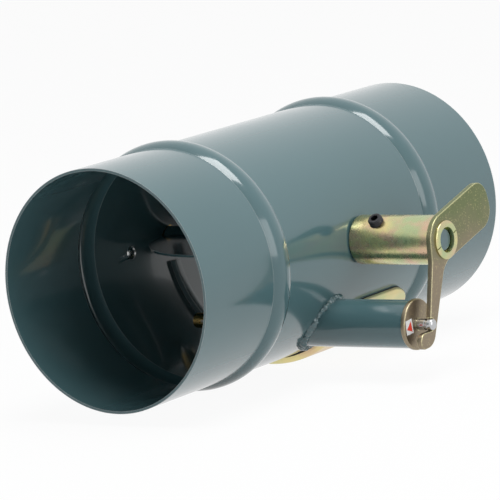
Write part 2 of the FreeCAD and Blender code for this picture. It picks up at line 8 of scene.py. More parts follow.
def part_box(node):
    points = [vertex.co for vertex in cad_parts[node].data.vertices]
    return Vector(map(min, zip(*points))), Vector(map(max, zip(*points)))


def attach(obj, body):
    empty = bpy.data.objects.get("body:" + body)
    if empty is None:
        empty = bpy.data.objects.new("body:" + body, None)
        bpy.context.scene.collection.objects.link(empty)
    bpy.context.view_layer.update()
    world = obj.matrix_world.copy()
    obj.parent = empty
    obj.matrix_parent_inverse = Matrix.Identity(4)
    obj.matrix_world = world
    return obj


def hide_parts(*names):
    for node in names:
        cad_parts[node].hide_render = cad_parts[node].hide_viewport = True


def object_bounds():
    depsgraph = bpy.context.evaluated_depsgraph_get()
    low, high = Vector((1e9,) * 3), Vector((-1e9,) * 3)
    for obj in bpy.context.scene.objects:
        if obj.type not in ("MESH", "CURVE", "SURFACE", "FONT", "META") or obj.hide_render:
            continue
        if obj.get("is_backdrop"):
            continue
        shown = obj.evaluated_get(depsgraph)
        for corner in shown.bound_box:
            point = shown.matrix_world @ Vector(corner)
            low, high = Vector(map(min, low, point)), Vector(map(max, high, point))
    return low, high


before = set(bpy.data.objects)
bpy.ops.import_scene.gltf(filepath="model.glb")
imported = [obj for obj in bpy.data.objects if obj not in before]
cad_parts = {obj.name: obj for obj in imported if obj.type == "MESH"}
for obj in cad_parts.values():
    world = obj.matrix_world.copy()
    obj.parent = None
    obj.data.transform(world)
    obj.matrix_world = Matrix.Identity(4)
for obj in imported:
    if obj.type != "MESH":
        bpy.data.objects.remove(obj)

bl_info = {
    "name": "Inline duct damper",
    "version": (1, 0, 0),
    "blender": (4, 5, 0),
    "location": "3D View > Sidebar > Damper",
    "description": "Finishes the casing, handle, fuse, spring and cover of a round duct damper",
    "category": "Object",
}

MM = 0.001
SHARP_ANGLE = math.radians(28)
CASING = "casing"
ROTOR = "damper_rotor"
PLUNGER = "fuse_plunger"
MERGE_DISTANCE = 0.002 * MM

# The cutters of the casing's openings, each longer than the wall it goes through
FUSE_CUTTER_X = 70.0 * MM
FUSE_CUTTER_DEPTH = 100.0 * MM
SHAFT_CUTTER_DEPTH = 400.0 * MM
STUD_CUTTER_X = -74.0 * MM
STUD_HOLE_R = 3.0 * MM
WALL_CUTTER_DEPTH = 20.0 * MM
HATCH_CUTTER_SHARE = 0.93

# The return spring's legs
STUD_TOUCH = 3.1 * MM
LEG_PAST_STUD = 6.5 * MM
INNER_LEG = 5.5 * MM

# The handle's set screw
SCREW_PITCH = 1.5 * MM
SCREW_THREAD_DEPTH = 0.6 * MM
SCREW_CHAMFER = 0.7 * MM
SCREW_SOCKET_R = 2.6 * MM
SCREW_SOCKET_DEPTH = 4.0 * MM

FLOOR_HALF = 3.0
FLOOR_GAP = 0.3 * MM
CAMERA_PLACE = (1.3826, -1.7565, 0.3704)


# Places that come from the frame

def middle(node):
    low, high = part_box(node)
    return (low + high) / 2


SHAFT_LINE = middle("damper_shaft")
FUSE_LINE = middle("fuse_rod")
CASING_LOW, CASING_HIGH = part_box("casing_tube")
STUB_LOW, STUB_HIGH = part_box("fuse_stub_tube")
STUB_R = (STUB_HIGH.y - STUB_LOW.y) / 2


# Properties that a user would change

def length_property(name, text, value):
    return bpy.props.FloatProperty(
        name=name, description=text, default=value, min=0.0, subtype="DISTANCE", unit="LENGTH")


def colour_property(name, text, value):
    return bpy.props.FloatVectorProperty(
        name=name, description=text, default=value, size=3, min=0.0, max=1.0, subtype="COLOR")


class CasingSizes(bpy.types.PropertyGroup):
    radius: length_property("Radius", "Outer radius of the plain casing", 74.0 * MM)
    wall: length_property("Wall", "Sheet thickness of the casing", 1.6 * MM)
    bead_crest: length_property("Bead crest", "Distance from an end to the crest of its bead", 78.5 * MM)
    bead_height: length_property("Bead height", "How far a bead stands out", 3.3 * MM)
    bead_half: length_property("Bead half width", "From the crest to a foot of the bead", 9.0 * MM)
    hatch_turn: bpy.props.FloatProperty(
        name="Hatch turn", description="Direction of the hatch under the access cover",
        default=math.radians(68.8), subtype="ANGLE", unit="ROTATION")
    hatch_width: length_property("Hatch width", "Width of the hatch round the casing", 64.0 * MM)
    hatch_length: length_property("Hatch length", "Length of the hatch along the casing", 43.0 * MM)
    screw_turn: bpy.props.FloatProperty(
        name="Screw turn", description="Angle from the middle of the hatch to a cover screw",
        default=math.radians(30.64), subtype="ANGLE", unit="ROTATION")
    screw_hole: length_property("Screw hole", "Radius of the holes for the cover's screws", 2.6 * MM)
    around: bpy.props.IntProperty(
        name="Steps around", description="Divisions round the casing", default=240, min=24)


class WeldSizes(bpy.types.PropertyGroup):
    bead: length_property("Bead radius", "Radius of the weld bead's section", 2.6 * MM)
    lumps: length_property("Lumps", "Height of the uneven lumps on the bead", 3.0 * MM)
    ripples: bpy.props.IntProperty(
        name="Ripples", description="Ripples once round the stub", default=34, min=8)
    swell: bpy.props.FloatProperty(
        name="Swell", description="How much each ripple stands out", default=0.09, min=0.0, max=0.5)


class SpringSizes(bpy.types.PropertyGroup):
    wire: length_property("Wire radius", "Radius of the return spring's wire", 1.5 * MM)
    radius: length_property("Coil radius", "To the middle of the wire", 13.5 * MM)
    turns: bpy.props.FloatProperty(
        name="Turns", description="Turns of the return spring", default=5.0, min=1.0)
    fuse_wire: length_property("Fuse wire radius", "Radius of the fuse spring's wire", 0.5 * MM)
    fuse_turns: bpy.props.FloatProperty(
        name="Fuse turns", description="Turns of the fuse spring", default=8.0, min=1.0)


class Finishes(bpy.types.PropertyGroup):
    paint: colour_property("Paint", "Glossy grey paint of the casing", (0.068, 0.137, 0.150))
    plating: colour_property("Plating", "Yellow passivated plating", (0.72, 0.62, 0.30))
    plating_pink: colour_property("Plating, pink", "Pink cast of the plating", (0.66, 0.42, 0.32))
    plating_green: colour_property("Plating, green", "Green cast of the plating", (0.45, 0.52, 0.29))
    plate_brown: colour_property("Plate, brown", "Brown cast of the sheared plates", (0.27, 0.22, 0.155))
    # Painted reflection: the darker olive stands for what the plate reflects above the shaft line.
    plate_olive_reflection: colour_property("Plate, olive reflection", "Painted olive reflection on the sheared plates above the shaft line", (0.16, 0.19, 0.09))
    zinc: colour_property("Zinc", "Bright plated steel", (0.60, 0.61, 0.60))
    steel: colour_property("Steel", "Turned steel", (0.55, 0.56, 0.57))
    black: colour_property("Black", "Black oxide", (0.018, 0.018, 0.022))
    brass: colour_property("Brass", "Turned brass", (0.60, 0.42, 0.15))
    rubber: colour_property("Rubber", "Gasket rubber", (0.02, 0.02, 0.02))
    mark: colour_property("Mark", "Pointer on the fuse cap", (0.75, 0.05, 0.02))


class StageLevels(bpy.types.PropertyGroup):
    world: bpy.props.FloatProperty(
        name="World", description="Strength of the even light all round", default=0.15, min=0.0)
    sky: bpy.props.FloatProperty(
        name="Sky", description="Strength of the light from above and behind", default=0.52, min=0.0)
    key: bpy.props.FloatProperty(
        name="Key", description="Power of the large lamp above", default=22.0, min=0.0)
    side: bpy.props.FloatProperty(
        name="Side", description="Power of the lamp on the handle side", default=9.0, min=0.0)
    camera_turn: bpy.props.FloatProperty(
        name="Camera turn", description="Direction of the camera round the casing",
        default=math.radians(35.94), subtype="ANGLE", unit="ROTATION")
    camera_rise: bpy.props.FloatProperty(
        name="Camera rise", description="Height of the camera as an angle",
        default=math.radians(9.03), subtype="ANGLE", unit="ROTATION")
    camera_roll: bpy.props.FloatProperty(
        name="Camera roll", description="Lean of the camera",
        default=math.radians(-6.20), subtype="ANGLE", unit="ROTATION")
    lens: bpy.props.FloatProperty(
        name="Lens", description="Focal length", default=276.2, min=1.0, unit="CAMERA")


# Node trees

class Wiring:
    """Adds nodes to a tree, each with its settings, values and links in one call."""

    def __init__(self, tree):
        self.tree = tree

    def add(self, kind, values=None, **settings):
        node = self.tree.nodes.new(kind)
        for name, value in settings.items():
            setattr(node, name, value)
        for name, value in (values or {}).items():
            self.put(node.inputs[name], value)
        return node

    def put(self, socket, value):
        if isinstance(value, bpy.types.NodeSocket):
            self.tree.links.new(value, socket)
        else:
            socket.default_value = value

    def calc(self, operation, *values):
        node = self.add("ShaderNodeMath", operation=operation)
        for i, value in enumerate(values):
            self.put(node.inputs[i], value)
        return node.outputs[0]

    def mix_colour(self, factor, first, second, blend="MIX"):
        node = self.add("ShaderNodeMix", data_type="RGBA", blend_type=blend)
        self.put(node.inputs[0], factor)
        for socket, value in ((node.inputs[6], first), (node.inputs[7], second)):
            self.put(socket, value if isinstance(value, bpy.types.NodeSocket) else (*value, 1.0))
        return node.outputs[2]

    def ramp(self, value, low, high):
        node = self.add("ShaderNodeMapRange", {"Value": value, "From Min": low, "From Max": high})
        return node.outputs[0]


def new_material(name):
    material = bpy.data.materials.new(name)
    material.use_nodes = True
    wiring = Wiring(material.node_tree)
    return material, wiring, material.node_tree.nodes["Principled BSDF"]


def object_noise(wiring, scale, detail=2.0, stretch=(1.0, 1.0, 1.0)):
    place = wiring.add("ShaderNodeTexCoord").outputs["Object"]
    turned = wiring.add("ShaderNodeMapping", {"Vector": place, "Scale": stretch}).outputs[0]
    noise = wiring.add("ShaderNodeTexNoise", {"Vector": turned, "Scale": scale, "Detail": detail})
    return noise.outputs[0]


# Share of each point that lies on a rounded edge; paints and plates use it for painted highlights on their
# edges, metals for lighter edges.
def edge_mask(wiring, width):
    bevel = wiring.add("ShaderNodeBevel", {"Radius": width}, samples=4)
    normal = wiring.add("ShaderNodeNewGeometry").outputs["Normal"]
    facing = wiring.add("ShaderNodeVectorMath", {0: bevel.outputs[0], 1: normal}, operation="DOT_PRODUCT")
    return wiring.ramp(facing.outputs["Value"], 0.995, 0.90)


def paint_material(name, colour, roughness):
    material, wiring, shader = new_material(name)
    cloud = object_noise(wiring, 9.0)
    tint = wiring.mix_colour(cloud, [c * 0.93 for c in colour], [min(1, c * 1.07) for c in colour])
    # Painted highlight: the paint is lightened along its edges, where light glints on the rounded corners.
    rim_highlight = wiring.calc("MULTIPLY", edge_mask(wiring, 0.6 * MM), 0.8)
    tint = wiring.mix_colour(rim_highlight, tint, [c * 0.6 + 0.36 for c in colour])
    wiring.put(shader.inputs["Base Color"], tint)
    patches = wiring.ramp(object_noise(wiring, 30.0, 4.0), 0.35, 0.75)
    wiring.put(shader.inputs["Roughness"], wiring.calc("MULTIPLY_ADD", patches, 0.05, roughness))
    peel = object_noise(wiring, 260.0, 1.0)
    bump = wiring.add("ShaderNodeBump", {"Height": peel, "Strength": 0.10, "Distance": 0.05 * MM})
    wiring.put(shader.inputs["Normal"], bump.outputs[0])
    shader.inputs["Coat Weight"].default_value = 0.35
    shader.inputs["Coat Roughness"].default_value = 0.04
    return material


def plating_material(name, finishes, spread, roughness):
    material, wiring, shader = new_material(name)
    broad = wiring.ramp(object_noise(wiring, 34.0 * spread, 3.0), 0.40, 0.62)
    narrow = wiring.ramp(object_noise(wiring, 90.0 * spread, 2.0, (1.0, 0.5, 1.6)), 0.45, 0.68)
    colour = wiring.mix_colour(broad, finishes.plating, finishes.plating_green)
    strength = wiring.calc("MULTIPLY", narrow, 0.75)
    colour = wiring.mix_colour(strength, colour, finishes.plating_pink)
    wiring.put(shader.inputs["Base Color"], colour)
    shader.inputs["Metallic"].default_value = 1.0
    streaks = object_noise(wiring, 300.0, 4.0, (1.0, 0.15, 1.0))
    wiring.put(shader.inputs["Roughness"], wiring.calc("MULTIPLY_ADD", streaks, 0.22, roughness - 0.11))
    bump = wiring.add("ShaderNodeBump", {"Height": streaks, "Strength": 0.12, "Distance": 0.03 * MM})
    wiring.put(shader.inputs["Normal"], bump.outputs[0])
    return material


def plate_material(name, finishes):
    """Sheared plate, speckled: brown below the shaft line and a darker olive above it, the olive being a
    painted reflection; its edges carry a painted highlight.
    """
    material, wiring, shader = new_material(name)
    place = wiring.add("ShaderNodeTexCoord").outputs["Object"]
    height = wiring.add("ShaderNodeSeparateXYZ", {0: place}).outputs[2]
    cloud = wiring.calc("MULTIPLY_ADD", object_noise(wiring, 60.0, 3.0), 0.03, height)
    # Painted reflection: above the shaft line the brown turns to the darker olive that the plate reflects
    # there.
    upper = wiring.ramp(cloud, 0.0, 0.032)
    colour = wiring.mix_colour(upper, finishes.plate_brown, finishes.plate_olive_reflection)
    speckle = object_noise(wiring, 1100.0, 2.0)
    spots = wiring.ramp(speckle, 0.60, 0.72)
    colour = wiring.mix_colour(wiring.calc("MULTIPLY", spots, 0.45), colour, finishes.plating)
    # Painted highlight: the plating is lightened along the plate's edges, where light glints on them.
    rim_highlight = edge_mask(wiring, 0.7 * MM)
    colour = wiring.mix_colour(rim_highlight, colour, [min(1.0, c * 1.3 + 0.15) for c in finishes.plating])
    wiring.put(shader.inputs["Base Color"], colour)
    shader.inputs["Metallic"].default_value = 1.0
    shader.inputs["Roughness"].default_value = 0.36
    bump = wiring.add("ShaderNodeBump", {"Height": speckle, "Strength": 0.5, "Distance": 0.05 * MM})
    wiring.put(shader.inputs["Normal"], bump.outputs[0])
    return material


def metal_material(name, colour, roughness, metallic=1.0, grain=700.0):
    material, wiring, shader = new_material(name)
    cloud = object_noise(wiring, 60.0, 3.0)
    rubbed = edge_mask(wiring, 0.4 * MM)
    tint = wiring.mix_colour(cloud, [c * 0.82 for c in colour], colour)
    bright = [min(1.0, c * 1.25 + 0.02) for c in colour]
    wiring.put(shader.inputs["Base Color"], wiring.mix_colour(rubbed, tint, bright))
    shader.inputs["Metallic"].default_value = metallic
    fine = object_noise(wiring, grain, 3.0, (4.0, 1.0, 1.0))
    wiring.put(shader.inputs["Roughness"], wiring.calc("MULTIPLY_ADD", fine, 0.16, roughness - 0.08))
    bump = wiring.add("ShaderNodeBump", {"Height": fine, "Strength": 0.15, "Distance": 0.03 * MM})
    wiring.put(shader.inputs["Normal"], bump.outputs[0])
    return material


def plain_material(name, colour, roughness):
    material, wiring, shader = new_material(name)
    cloud = object_noise(wiring, 400.0, 2.0)
    wiring.put(shader.inputs["Base Color"], wiring.mix_colour(cloud, [c * 0.85 for c in colour], colour))
    shader.inputs["Roughness"].default_value = roughness
    return material


# Pieces

def as_piece(name, mesh, body, material, nodes):
    piece = bpy.data.objects.new(name, mesh)
    bpy.context.scene.collection.objects.link(piece)
    mesh.materials.clear()
    mesh.materials.append(material)
    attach(piece, body)
    if nodes:
        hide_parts(*nodes)
    return piece


def smoothed(mesh):
    mesh.shade_smooth()
    mesh.set_sharp_from_angle(angle=SHARP_ANGLE)
    return mesh


def merged_mesh(node):
    work = bmesh.new()
    work.from_mesh(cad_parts[node].data)
    bmesh.ops.remove_doubles(work, verts=work.verts, dist=MERGE_DISTANCE)
    bmesh.ops.dissolve_degenerate(work, edges=work.edges, dist=0.001 * MM)
    points = [v.co.copy() for v in work.verts]
    faces = [[v.index for v in f.verts] for f in work.faces]
    work.free()
    mesh = bpy.data.meshes.new(node)
    mesh.from_pydata(points, [], faces)
    return mesh


def finish_nodes(nodes, body, material):
    for node in nodes:
        as_piece(node + "_finished", smoothed(merged_mesh(node)), body, material, [node])


def new_geometry_tree(name, inputs):
    tree = bpy.data.node_groups.new(name, "GeometryNodeTree")
    kinds = {float: "NodeSocketFloat", int: "NodeSocketInt", bpy.types.Material: "NodeSocketMaterial"}
    for label, value in inputs.items():
        kind = next(k for t, k in kinds.items() if isinstance(value, t))
        tree.interface.new_socket(label, in_out="INPUT", socket_type=kind)
    tree.interface.new_socket("Geometry", in_out="OUTPUT", socket_type="NodeSocketGeometry")
    wiring = Wiring(tree)
    given = wiring.add("NodeGroupInput").outputs
    return tree, wiring, given


def close_tree(wiring, geometry, material):
    real = wiring.add("GeometryNodeRealizeInstances", {"Geometry": geometry}).outputs[0]
    coloured = wiring.add("GeometryNodeSetMaterial", {"Geometry": real, "Material": material}).outputs[0]
    wiring.add("NodeGroupOutput", {"Geometry": coloured})


def grown_mesh(name, tree, inputs):
    """Runs a tree on an empty object and returns its result as a plain mesh."""
    holder = bpy.data.objects.new(name, bpy.data.meshes.new(name))
    bpy.context.scene.collection.objects.link(holder)
    modifier = holder.modifiers.new(name, "NODES")
    modifier.node_group = tree
    for item in tree.interface.items_tree:
        if item.in_out == "INPUT":
            modifier[item.identifier] = inputs[item.name]
    graph = bpy.context.evaluated_depsgraph_get()
    mesh = bpy.data.meshes.new_from_object(holder.evaluated_get(graph))
    bpy.data.objects.remove(holder)
    work = bmesh.new()
    work.from_mesh(mesh)
    bmesh.ops.remove_doubles(work, verts=work.verts, dist=MERGE_DISTANCE)
    bmesh.ops.recalc_face_normals(work, faces=work.faces)
    work.to_mesh(mesh)
    work.free()
    return mesh


def revolved_strip():
    """A strip turned round Y, straight or bulged outwards in an arc."""
    inputs = {
        "Start": 0.0, "End": 0.0, "Radius": 0.0, "End Radius": 0.0, "Bulge": 0.0,
        "Around": 1, "Along": 1,
    }
    tree, w, given = new_geometry_tree("Revolved strip", inputs)
    grid = w.add("GeometryNodeMeshGrid", {
        "Size X": 1.0, "Size Y": 1.0, "Vertices X": given["Around"], "Vertices Y": given["Along"]})
    place = w.add("ShaderNodeSeparateXYZ", {0: w.add("GeometryNodeInputPosition").outputs[0]})
    turn = w.calc("MULTIPLY", w.calc("ADD", place.outputs[0], 0.5), 2 * math.pi)
    share = w.calc("ADD", place.outputs[1], 0.5)
    span = w.calc("SUBTRACT", given["End"], given["Start"])
    along = w.calc("MULTIPLY_ADD", span, share, given["Start"])
    half = w.calc("MULTIPLY", span, 0.5)
    offset = w.calc("SUBTRACT", along, w.calc("ADD", given["Start"], half))
    squares = w.calc("MULTIPLY_ADD", half, half, w.calc("POWER", given["Bulge"], 2.0))
    arc = w.calc("DIVIDE", squares, w.calc("MULTIPLY", given["Bulge"], 2.0))
    under = w.calc("SUBTRACT", w.calc("POWER", arc, 2.0), w.calc("POWER", offset, 2.0))
    rise = w.calc("SUBTRACT", w.calc("SQRT", under), w.calc("SUBTRACT", arc, given["Bulge"]))
    rise = w.calc("MULTIPLY", rise, w.calc("GREATER_THAN", given["Bulge"], 0.0))
    taper = w.calc("SUBTRACT", given["End Radius"], given["Radius"])
    radius = w.calc("ADD", rise, w.calc("MULTIPLY_ADD", taper, share, given["Radius"]))
    point = w.add("ShaderNodeCombineXYZ", {
        0: w.calc("MULTIPLY", radius, w.calc("COSINE", turn)), 1: along,
        2: w.calc("MULTIPLY", radius, w.calc("SINE", turn))})
    moved = w.add("GeometryNodeSetPosition", {"Geometry": grid.outputs[0], "Position": point.outputs[0]})
    w.add("NodeGroupOutput", {"Geometry": moved.outputs[0]})
    return tree


def casing_tree(material):
    inputs = {
        "Length": 0.0, "Radius": 0.0, "Wall": 0.0, "Bead Crest": 0.0, "Bead Height": 0.0,
        "Bead Half Width": 0.0, "Inner Half Width": 0.0, "Around": 1, "Fuse Y": 0.0, "Fuse Z": 0.0,
        "Fuse Hole": 0.0, "Shaft Y": 0.0, "Shaft Hole": 0.0, "Stud Y": 0.0, "Stud Z": 0.0, "Stud Hole": 0.0,
        "Hatch Y": 0.0, "Hatch Out": 0.0, "Hatch Turn": 0.0, "Hatch Width": 0.0, "Hatch Length": 0.0,
        "Screw Turn": 0.0, "Screw Hole": 0.0, "Material": material,
    }
    tree, w, given = new_geometry_tree("Round casing", inputs)
    strip = revolved_strip()
    join = w.add("GeometryNodeJoinGeometry")

    def ring(start, end, radius, end_radius, bulge, along):
        part = w.add("GeometryNodeGroup", node_tree=strip)
        values = (start, end, radius, end_radius, bulge, given["Around"], along)
        for name, value in zip(("Start", "End", "Radius", "End Radius", "Bulge", "Around", "Along"), values):
            w.put(part.inputs[name], value)
        w.tree.links.new(part.outputs[0], join.inputs[0])

    bore = w.calc("SUBTRACT", given["Radius"], given["Wall"])
    far_crest = w.calc("SUBTRACT", given["Length"], given["Bead Crest"])
    for radius, half in ((given["Radius"], given["Bead Half Width"]), (bore, given["Inner Half Width"])):
        last = 0.0
        for crest in (given["Bead Crest"], far_crest):
            foot = w.calc("SUBTRACT", crest, half)
            far_foot = w.calc("ADD", crest, half)
            ring(last, foot, radius, radius, 0.0, 8)
            ring(foot, far_foot, radius, radius, given["Bead Height"], 25)
            last = far_foot
        ring(last, given["Length"], radius, radius, 0.0, 8)
    ring(0.0, 0.0, given["Radius"], bore, 0.0, 2)
    ring(given["Length"], given["Length"], given["Radius"], bore, 0.0, 2)
    shell = w.add("GeometryNodeMergeByDistance", {
        "Geometry": join.outputs[0], "Distance": MERGE_DISTANCE})
    across = (0.0, math.pi / 2, 0.0)
    unturned = (0.0, 0.0, 0.0)
    fuse_place = w.add("ShaderNodeCombineXYZ", {
        0: FUSE_CUTTER_X, 1: given["Fuse Y"], 2: given["Fuse Z"]}).outputs[0]
    shaft_place = w.add("ShaderNodeCombineXYZ", {1: given["Shaft Y"]}).outputs[0]
    stud_place = w.add("ShaderNodeCombineXYZ", {
        0: STUD_CUTTER_X, 1: given["Stud Y"], 2: given["Stud Z"]}).outputs[0]
    bars = (
        (given["Fuse Hole"], FUSE_CUTTER_DEPTH, fuse_place),
        (given["Shaft Hole"], SHAFT_CUTTER_DEPTH, shaft_place),
        (given["Stud Hole"], WALL_CUTTER_DEPTH, stud_place),
    )
    holes = []
    for radius, depth, where in bars:
        bar = w.add("GeometryNodeMeshCylinder", {"Vertices": 96, "Radius": radius, "Depth": depth})
        moved = w.add("GeometryNodeTransform", {
            "Geometry": bar.outputs[0], "Translation": where, "Rotation": across})
        holes.append(moved.outputs[0])
    hatch_place = w.add("ShaderNodeCombineXYZ", {0: given["Hatch Out"], 1: given["Hatch Y"]}).outputs[0]
    hatch_size = w.add("ShaderNodeCombineXYZ", {
        0: WALL_CUTTER_DEPTH, 1: given["Hatch Length"], 2: given["Hatch Width"]}).outputs[0]
    hatch = w.add("GeometryNodeMeshCube", {"Size": hatch_size}).outputs[0]
    screw_bar = w.add("GeometryNodeMeshCylinder", {
        "Vertices": 48, "Radius": given["Screw Hole"], "Depth": WALL_CUTTER_DEPTH}).outputs[0]
    for cutter, side, turned in ((hatch, 0, unturned), (screw_bar, -1, across), (screw_bar, 1, across)):
        set_out = w.add("GeometryNodeTransform", {
            "Geometry": cutter, "Translation": hatch_place, "Rotation": turned}).outputs[0]
        turn = w.calc("MULTIPLY_ADD", given["Screw Turn"], side, given["Hatch Turn"])
        lean = w.add("ShaderNodeCombineXYZ", {1: turn}).outputs[0]
        holes.append(w.add("GeometryNodeTransform", {"Geometry": set_out, "Rotation": lean}).outputs[0])
    opened = w.add("GeometryNodeMeshBoolean", {0: shell.outputs[0]}, operation="DIFFERENCE")
    for hole in holes:
        w.tree.links.new(hole, opened.inputs[1])
    close_tree(w, opened.outputs[0], given["Material"])
    return tree


def coil_tree():
    """A round wire coiled along X, with the ends cut square."""
    inputs = {
        "Start X": 0.0, "Length": 0.0, "Centre Y": 0.0, "Centre Z": 0.0, "Coil Radius": 0.0,
        "Turns": 0.0, "Start Turn": 0.0, "Wire Radius": 0.0, "Points": 1,
        "Material": bpy.data.materials[0],
    }
    tree, w, given = new_geometry_tree("Coil of wire", inputs)
    line = w.add("GeometryNodeCurvePrimitiveLine")
    fine = w.add("GeometryNodeResampleCurve", {"Curve": line.outputs[0], "Count": given["Points"]})
    share = w.add("GeometryNodeSplineParameter").outputs["Factor"]
    turned = w.calc("MULTIPLY", w.calc("MULTIPLY", share, given["Turns"]), 2 * math.pi)
    turn = w.calc("ADD", turned, given["Start Turn"])
    point = w.add("ShaderNodeCombineXYZ", {
        0: w.calc("MULTIPLY_ADD", share, given["Length"], given["Start X"]),
        1: w.calc("MULTIPLY_ADD", w.calc("COSINE", turn), given["Coil Radius"], given["Centre Y"]),
        2: w.calc("MULTIPLY_ADD", w.calc("SINE", turn), given["Coil Radius"], given["Centre Z"])})
    path = w.add("GeometryNodeSetPosition", {"Geometry": fine.outputs[0], "Position": point.outputs[0]})
    section = w.add("GeometryNodeCurvePrimitiveCircle", {"Resolution": 16, "Radius": given["Wire Radius"]})
    wire = w.add("GeometryNodeCurveToMesh", {
        "Curve": path.outputs[0], "Profile Curve": section.outputs[0], "Fill Caps": True})
    close_tree(w, wire.outputs[0], given["Material"])
    return tree


def weld_tree(material):
    """A rippled bead that follows the line where the stub meets the casing."""
    inputs = {
        "Casing Radius": 0.0, "Stub Radius": 0.0, "Stub Y": 0.0, "Stub Z": 0.0, "Bead Radius": 0.0,
        "Ripples": 0.0, "Swell": 0.0, "Lump Height": 0.0, "Points": 1, "Material": material,
    }
    tree, w, given = new_geometry_tree("Weld bead", inputs)
    circle = w.add("GeometryNodeCurvePrimitiveCircle", {"Resolution": given["Points"], "Radius": 1.0})
    share = w.add("GeometryNodeSplineParameter").outputs["Factor"]
    turn = w.calc("MULTIPLY", share, 2 * math.pi)
    reach = w.calc("MULTIPLY_ADD", given["Bead Radius"], 0.10, given["Stub Radius"])
    y = w.calc("MULTIPLY_ADD", w.calc("COSINE", turn), reach, given["Stub Y"])
    z = w.calc("MULTIPLY_ADD", w.calc("SINE", turn), reach, given["Stub Z"])
    under = w.calc("SUBTRACT", w.calc("POWER", given["Casing Radius"], 2.0), w.calc("POWER", z, 2.0))
    point = w.add("ShaderNodeCombineXYZ", {0: w.calc("SQRT", under), 1: y, 2: z})
    path = w.add("GeometryNodeSetPosition", {"Geometry": circle.outputs[0], "Position": point.outputs[0]})
    wave = w.calc("SINE", w.calc("MULTIPLY", turn, given["Ripples"]))
    slow = w.calc("SINE", w.calc("MULTIPLY", turn, 7.0))
    both = w.calc("ADD", wave, slow)
    size = w.calc("MULTIPLY_ADD", both, given["Swell"], 1.0)
    swollen = w.add("GeometryNodeSetCurveRadius", {"Curve": path.outputs[0], "Radius": size})
    section = w.add("GeometryNodeCurvePrimitiveCircle", {"Resolution": 32, "Radius": given["Bead Radius"]})
    bead = w.add("GeometryNodeCurveToMesh", {
        "Curve": swollen.outputs[0], "Profile Curve": section.outputs[0]})
    if "Scale" in bead.inputs:
        w.put(bead.inputs["Scale"], size)
    lumps = w.add("ShaderNodeTexNoise", {"Scale": 260.0, "Detail": 1.0}).outputs[0]
    height = w.calc("MULTIPLY", w.calc("SUBTRACT", lumps, 0.5), given["Lump Height"])
    outwards = w.add("GeometryNodeInputNormal").outputs[0]
    shift = w.add("ShaderNodeVectorMath", {0: outwards, "Scale": height}, operation="SCALE").outputs[0]
    lumpy = w.add("GeometryNodeSetPosition", {"Geometry": bead.outputs[0], "Offset": shift})
    close_tree(w, lumpy.outputs[0], given["Material"])
    return tree


def thread_tree(material):
    """A screw along Z with a true helical thread and a hexagon socket in its top."""
    inputs = {
        "Radius": 0.0, "Length": 0.0, "Pitch": 0.0, "Depth": 0.0, "Socket Radius": 0.0,
        "Socket Depth": 0.0, "Rings": 1, "Material": material,
    }
    tree, w, given = new_geometry_tree("Socket screw", inputs)
    bar = w.add("GeometryNodeMeshCylinder", {
        "Vertices": 64, "Side Segments": given["Rings"], "Radius": given["Radius"], "Depth": given["Length"]})
    place = w.add("ShaderNodeSeparateXYZ", {0: w.add("GeometryNodeInputPosition").outputs[0]}).outputs
    around = w.calc("DIVIDE", w.calc("ARCTAN2", place[1], place[0]), 2 * math.pi)
    turn = w.calc("SUBTRACT", w.calc("DIVIDE", place[2], given["Pitch"]), around)
    wave = w.calc("COSINE", w.calc("MULTIPLY", turn, 2 * math.pi))
    groove = w.calc("MULTIPLY", w.calc("SUBTRACT", 1.0, wave), w.calc("MULTIPLY", given["Depth"], 0.5))
    from_end = w.calc("SUBTRACT", w.calc("MULTIPLY", given["Length"], 0.5), w.calc("ABSOLUTE", place[2]))
    chamfer = w.calc("MAXIMUM", w.calc("SUBTRACT", SCREW_CHAMFER, from_end), 0.0)
    share = w.calc("DIVIDE", w.calc("MAXIMUM", groove, chamfer), given["Radius"])
    scale = w.calc("SUBTRACT", 1.0, share)
    point = w.add("ShaderNodeCombineXYZ", {
        0: w.calc("MULTIPLY", place[0], scale), 1: w.calc("MULTIPLY", place[1], scale), 2: place[2]})
    threaded = w.add("GeometryNodeSetPosition", {"Geometry": bar.outputs[0], "Position": point.outputs[0]})
    top = w.add("ShaderNodeCombineXYZ", {2: w.calc("MULTIPLY", given["Length"], 0.5)})
    cut_depth = w.calc("MULTIPLY", given["Socket Depth"], 2.0)
    hexagon = w.add("GeometryNodeMeshCylinder", {
        "Vertices": 6, "Radius": given["Socket Radius"], "Depth": cut_depth})
    socket = w.add("GeometryNodeTransform", {"Geometry": hexagon.outputs[0], "Translation": top.outputs[0]})
    opened = w.add("GeometryNodeMeshBoolean", {0: threaded.outputs[0]}, operation="DIFFERENCE")
    w.tree.links.new(socket.outputs[0], opened.inputs[1])
    close_tree(w, opened.outputs[0], given["Material"])
    return tree


# Operators, one for each piece or group of like pieces

